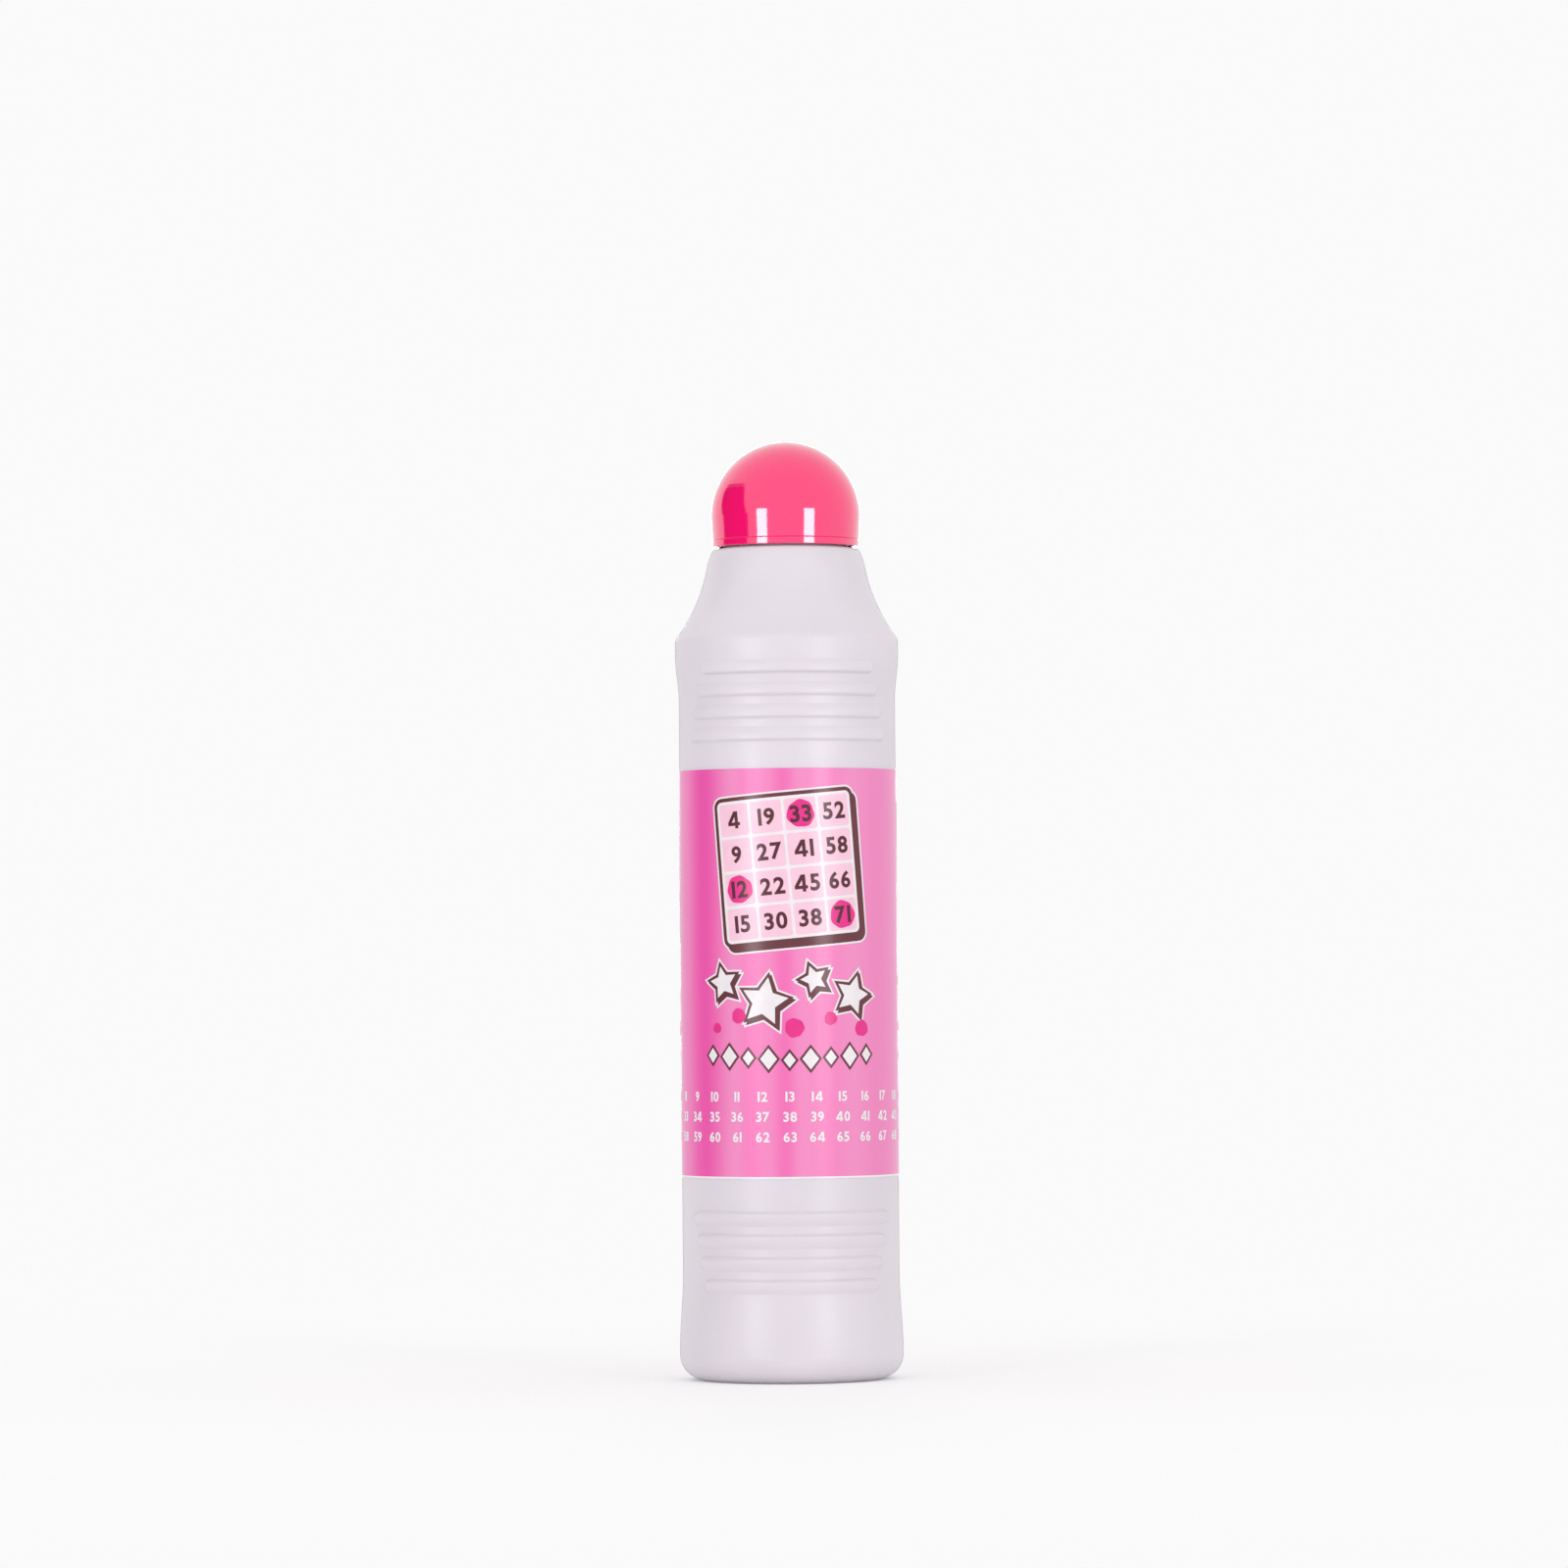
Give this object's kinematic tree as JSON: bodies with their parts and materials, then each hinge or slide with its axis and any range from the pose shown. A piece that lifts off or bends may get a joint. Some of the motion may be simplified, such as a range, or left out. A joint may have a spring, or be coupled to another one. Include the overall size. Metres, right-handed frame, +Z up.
{
  "type": "bingo dauber",
  "caption": "Ink dauber with a grip-beaded bottle, a wrap label, a spring-loaded foam tip valve and a domed screw cap.",
  "frame": {"origin": "middle of the foot ring, on the surface that the bottle stands on", "axes": "+Z up the bottle's axis to the cap, -Y towards the viewer, +X to the right"},
  "size_m": [0.0448, 0.0452, 0.1881],
  "materials": {
    "bottle_plastic": "satin",
    "label_film": "gloss film",
    "housing_plastic": "natural",
    "spring_steel": "bright",
    "valve_plastic": "natural",
    "washer_rubber": "matte",
    "tip_foam": "open foam",
    "cover_fabric": "fine weave",
    "ring_plastic": "natural",
    "liner_foam": "soft",
    "cap_plastic": "gloss"
  },
  "bodies": {
    "bottle": {"bottle": "bottle_plastic", "label": "label_film", "tip_housing": "housing_plastic", "valve_spring": "spring_steel"},
    "tip": {"valve_stem": "valve_plastic", "valve_washer": "washer_rubber", "valve_poppet": "valve_plastic", "foam_tip": "tip_foam", "tip_cover": "cover_fabric", "tip_ring": "ring_plastic"},
    "liner": {"cap_liner": "liner_foam"},
    "cap": {"cap": "cap_plastic"}
  },
  "joints": [
    {"name": "tip_press", "type": "slide", "parent": "bottle", "child": "tip", "axis": [0, 0, -1], "range_m": [0, 0.002], "stiffness_N_per_m": 400, "springref_m": -0.001, "deforming": ["valve_spring"]},
    {"name": "cap_rise", "type": "slide", "parent": "bottle", "child": "liner", "axis": [0, 0, 1], "range_m": [0, 0.0253]},
    {"name": "cap_turn", "type": "hinge", "parent": "liner", "child": "cap", "pos_m": [0, 0, 0.1666], "axis": [0, 0, 1], "range_deg": [0, 2160]}
  ],
  "couplings": [
    {"joint": "cap_rise", "follows": "cap_turn", "m_per_rad": 0.00066845}
  ]
}
